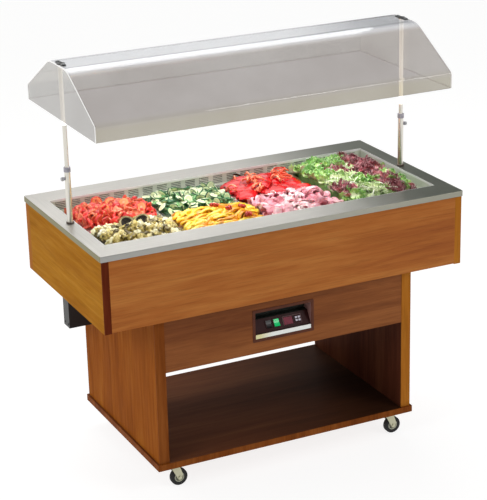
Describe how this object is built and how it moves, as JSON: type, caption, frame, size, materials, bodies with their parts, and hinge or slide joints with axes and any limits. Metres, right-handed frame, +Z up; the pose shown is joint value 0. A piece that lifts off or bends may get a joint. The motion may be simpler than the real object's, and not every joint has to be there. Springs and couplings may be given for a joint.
{
  "type": "mobile salad bar",
  "caption": "Wood-clad chilled salad bar with lift-out pans, control recess, open storage bay, swivel casters and a clear canopy that slides on two clamped posts.",
  "frame": {"origin": "on the floor, under the middle of the rim", "axes": "+X right along the length, +Y to the back, +Z up; the controls face -Y"},
  "size_m": [1.5, 0.8, 1.606],
  "materials": {
    "rim_steel": "brushed, slightly darkened towards the back",
    "liner_steel": "satin sheet",
    "foam": "foamed insulation",
    "wood_front": "satin orange-brown veneer, grain along the length",
    "wood_end": "satin golden-brown veneer",
    "wood_edge": "solid lippings, dark on the left, golden on the right",
    "wood_inner": "plain board",
    "wood_pedestal": "satin red-brown veneer, grain upright",
    "wood_fascia": "satin brown veneer",
    "wood_base": "satin dark-brown board",
    "black_sheet": "satin black paint",
    "control_black": "moulded, fine texture",
    "control_maroon": "printed film, satin",
    "display_red": "dark red display window",
    "circuit": "circuit board",
    "coil_metal": "thin fins",
    "grey_sheet": "galvanised sheet",
    "copper": "drawn copper tube",
    "post_steel": "polished tube",
    "post_trim": "dark ring",
    "caster_zinc": "zinc-plated pressing",
    "wheel_rubber": "black tread on a grey hub",
    "clear_sheet": "clear bent acrylic with polished edges",
    "black_plastic": "moulded",
    "green_lens": "lit green lens",
    "key_plastic": "pale keys",
    "pan_steel": "deep-drawn, satin"
  },
  "bodies": {
    "cabinet": {"rim_frame": "rim_steel", "well_liner": "liner_steel", "insulation": "foam", "air_louvres": "liner_steel", "pan_bars": "liner_steel", "tank_panel_front": "wood_front", "tank_panel_rear": "wood_front", "tank_panel_left": "wood_end", "tank_panel_right": "wood_end", "edge_strips": "wood_edge", "tank_floor": "wood_inner", "pedestal_panel_left": "wood_pedestal", "pedestal_panel_right": "wood_pedestal", "fascia_front": "wood_fascia", "fascia_rear": "wood_fascia", "bay_ceiling": "wood_inner", "base_board": "wood_base", "service_box": "black_sheet", "control_housing": "control_black", "control_plate": "control_maroon", "display": "display_red", "control_board": "circuit", "compressor": "black_sheet", "condenser": "coil_metal", "fan_shroud": "grey_sheet", "evaporator": "coil_metal", "pipework": "copper", "lower_posts": "post_steel", "post_fittings": "post_trim", "caster_plates": "caster_zinc"},
    "canopy": {"canopy_hood": "clear_sheet", "canopy_ends": "clear_sheet", "upper_posts": "post_steel", "top_brackets": "black_plastic", "bracket_screws": "post_trim"},
    "left_knob": {"knob_left": "black_plastic"},
    "right_knob": {"knob_right": "black_plastic"},
    "fork_fl": {"caster_fork_fl": "caster_zinc"},
    "wheel_fl": {"caster_wheel_fl": "wheel_rubber"},
    "fork_fr": {"caster_fork_fr": "caster_zinc"},
    "wheel_fr": {"caster_wheel_fr": "wheel_rubber"},
    "fork_rl": {"caster_fork_rl": "caster_zinc"},
    "wheel_rl": {"caster_wheel_rl": "wheel_rubber"},
    "fork_rr": {"caster_fork_rr": "caster_zinc"},
    "wheel_rr": {"caster_wheel_rr": "wheel_rubber"},
    "black_rocker": {"rocker_black": "black_plastic"},
    "green_rocker": {"rocker_green": "green_lens"},
    "key_1": {"button_1": "key_plastic"},
    "key_2": {"button_2": "key_plastic"},
    "key_3": {"button_3": "key_plastic"},
    "key_4": {"button_4": "key_plastic"},
    "condenser_rotor": {"condenser_fan": "black_plastic"},
    "evaporator_rotor": {"evaporator_fan": "black_plastic"},
    "tray_1_rear": {"pan_1_rear": "pan_steel"},
    "tray_1_front": {"pan_1_front": "pan_steel"},
    "tray_2_rear": {"pan_2_rear": "pan_steel"},
    "tray_2_front": {"pan_2_front": "pan_steel"},
    "tray_3_rear": {"pan_3_rear": "pan_steel"},
    "tray_3_front": {"pan_3_front": "pan_steel"},
    "tray_4": {"pan_4": "pan_steel"}
  },
  "joints": [
    {"name": "canopy_lift", "type": "slide", "parent": "cabinet", "child": "canopy", "axis": [0, 0, 1], "range_m": [-0.095, 0.04]},
    {"name": "knob_left_turn", "type": "hinge", "parent": "cabinet", "child": "left_knob", "pos_m": [-0.708, 0, 1.17], "axis": [-1, 0, 0], "continuous": true},
    {"name": "knob_right_turn", "type": "hinge", "parent": "cabinet", "child": "right_knob", "pos_m": [0.708, 0, 1.17], "axis": [1, 0, 0], "continuous": true},
    {"name": "swivel_fl", "type": "hinge", "parent": "cabinet", "child": "fork_fl", "pos_m": [-0.4675, -0.318, 0.084], "axis": [0, 0, 1], "continuous": true},
    {"name": "roll_fl", "type": "hinge", "parent": "fork_fl", "child": "wheel_fl", "pos_m": [-0.4505, -0.318, 0.034], "axis": [0, 1, 0], "continuous": true},
    {"name": "swivel_fr", "type": "hinge", "parent": "cabinet", "child": "fork_fr", "pos_m": [0.4675, -0.318, 0.084], "axis": [0, 0, 1], "continuous": true},
    {"name": "roll_fr", "type": "hinge", "parent": "fork_fr", "child": "wheel_fr", "pos_m": [0.4845, -0.318, 0.034], "axis": [0, 1, 0], "continuous": true},
    {"name": "swivel_rl", "type": "hinge", "parent": "cabinet", "child": "fork_rl", "pos_m": [-0.4675, 0.318, 0.084], "axis": [0, 0, 1], "continuous": true},
    {"name": "roll_rl", "type": "hinge", "parent": "fork_rl", "child": "wheel_rl", "pos_m": [-0.4505, 0.318, 0.034], "axis": [0, 1, 0], "continuous": true},
    {"name": "swivel_rr", "type": "hinge", "parent": "cabinet", "child": "fork_rr", "pos_m": [0.4675, 0.318, 0.084], "axis": [0, 0, 1], "continuous": true},
    {"name": "roll_rr", "type": "hinge", "parent": "fork_rr", "child": "wheel_rr", "pos_m": [0.4845, 0.318, 0.034], "axis": [0, 1, 0], "continuous": true},
    {"name": "rocker_black_tip", "type": "hinge", "parent": "cabinet", "child": "black_rocker", "pos_m": [-0.067, -0.33604, 0.58238], "axis": [1, 0, 0], "range_deg": [0, 16]},
    {"name": "rocker_green_tip", "type": "hinge", "parent": "cabinet", "child": "green_rocker", "pos_m": [-0.034, -0.33604, 0.58238], "axis": [1, 0, 0], "range_deg": [0, 16]},
    {"name": "button_1_press", "type": "slide", "parent": "cabinet", "child": "key_1", "axis": [0, 0.866, -0.5], "range_m": [0, 0.0012], "stiffness_N_per_m": 400, "springref_m": -0.002},
    {"name": "button_2_press", "type": "slide", "parent": "cabinet", "child": "key_2", "axis": [0, 0.866, -0.5], "range_m": [0, 0.0012], "stiffness_N_per_m": 400, "springref_m": -0.002},
    {"name": "button_3_press", "type": "slide", "parent": "cabinet", "child": "key_3", "axis": [0, 0.866, -0.5], "range_m": [0, 0.0012], "stiffness_N_per_m": 400, "springref_m": -0.002},
    {"name": "button_4_press", "type": "slide", "parent": "cabinet", "child": "key_4", "axis": [0, 0.866, -0.5], "range_m": [0, 0.0012], "stiffness_N_per_m": 400, "springref_m": -0.002},
    {"name": "condenser_fan_spin", "type": "hinge", "parent": "cabinet", "child": "condenser_rotor", "pos_m": [0.25, 0.238, 0.584], "axis": [0, 1, 0], "continuous": true},
    {"name": "evaporator_fan_spin", "type": "hinge", "parent": "cabinet", "child": "evaporator_rotor", "pos_m": [0, 0.034, 0.801], "axis": [0, 1, 0], "continuous": true},
    {"name": "pan_1_rear_lift", "type": "slide", "parent": "cabinet", "child": "tray_1_rear", "axis": [0, 0, 1], "range_m": [0, 0.25]},
    {"name": "pan_1_front_lift", "type": "slide", "parent": "cabinet", "child": "tray_1_front", "axis": [0, 0, 1], "range_m": [0, 0.25]},
    {"name": "pan_2_rear_lift", "type": "slide", "parent": "cabinet", "child": "tray_2_rear", "axis": [0, 0, 1], "range_m": [0, 0.25]},
    {"name": "pan_2_front_lift", "type": "slide", "parent": "cabinet", "child": "tray_2_front", "axis": [0, 0, 1], "range_m": [0, 0.25]},
    {"name": "pan_3_rear_lift", "type": "slide", "parent": "cabinet", "child": "tray_3_rear", "axis": [0, 0, 1], "range_m": [0, 0.25]},
    {"name": "pan_3_front_lift", "type": "slide", "parent": "cabinet", "child": "tray_3_front", "axis": [0, 0, 1], "range_m": [0, 0.25]},
    {"name": "pan_4_lift", "type": "slide", "parent": "cabinet", "child": "tray_4", "axis": [0, 0, 1], "range_m": [0, 0.25]}
  ]
}
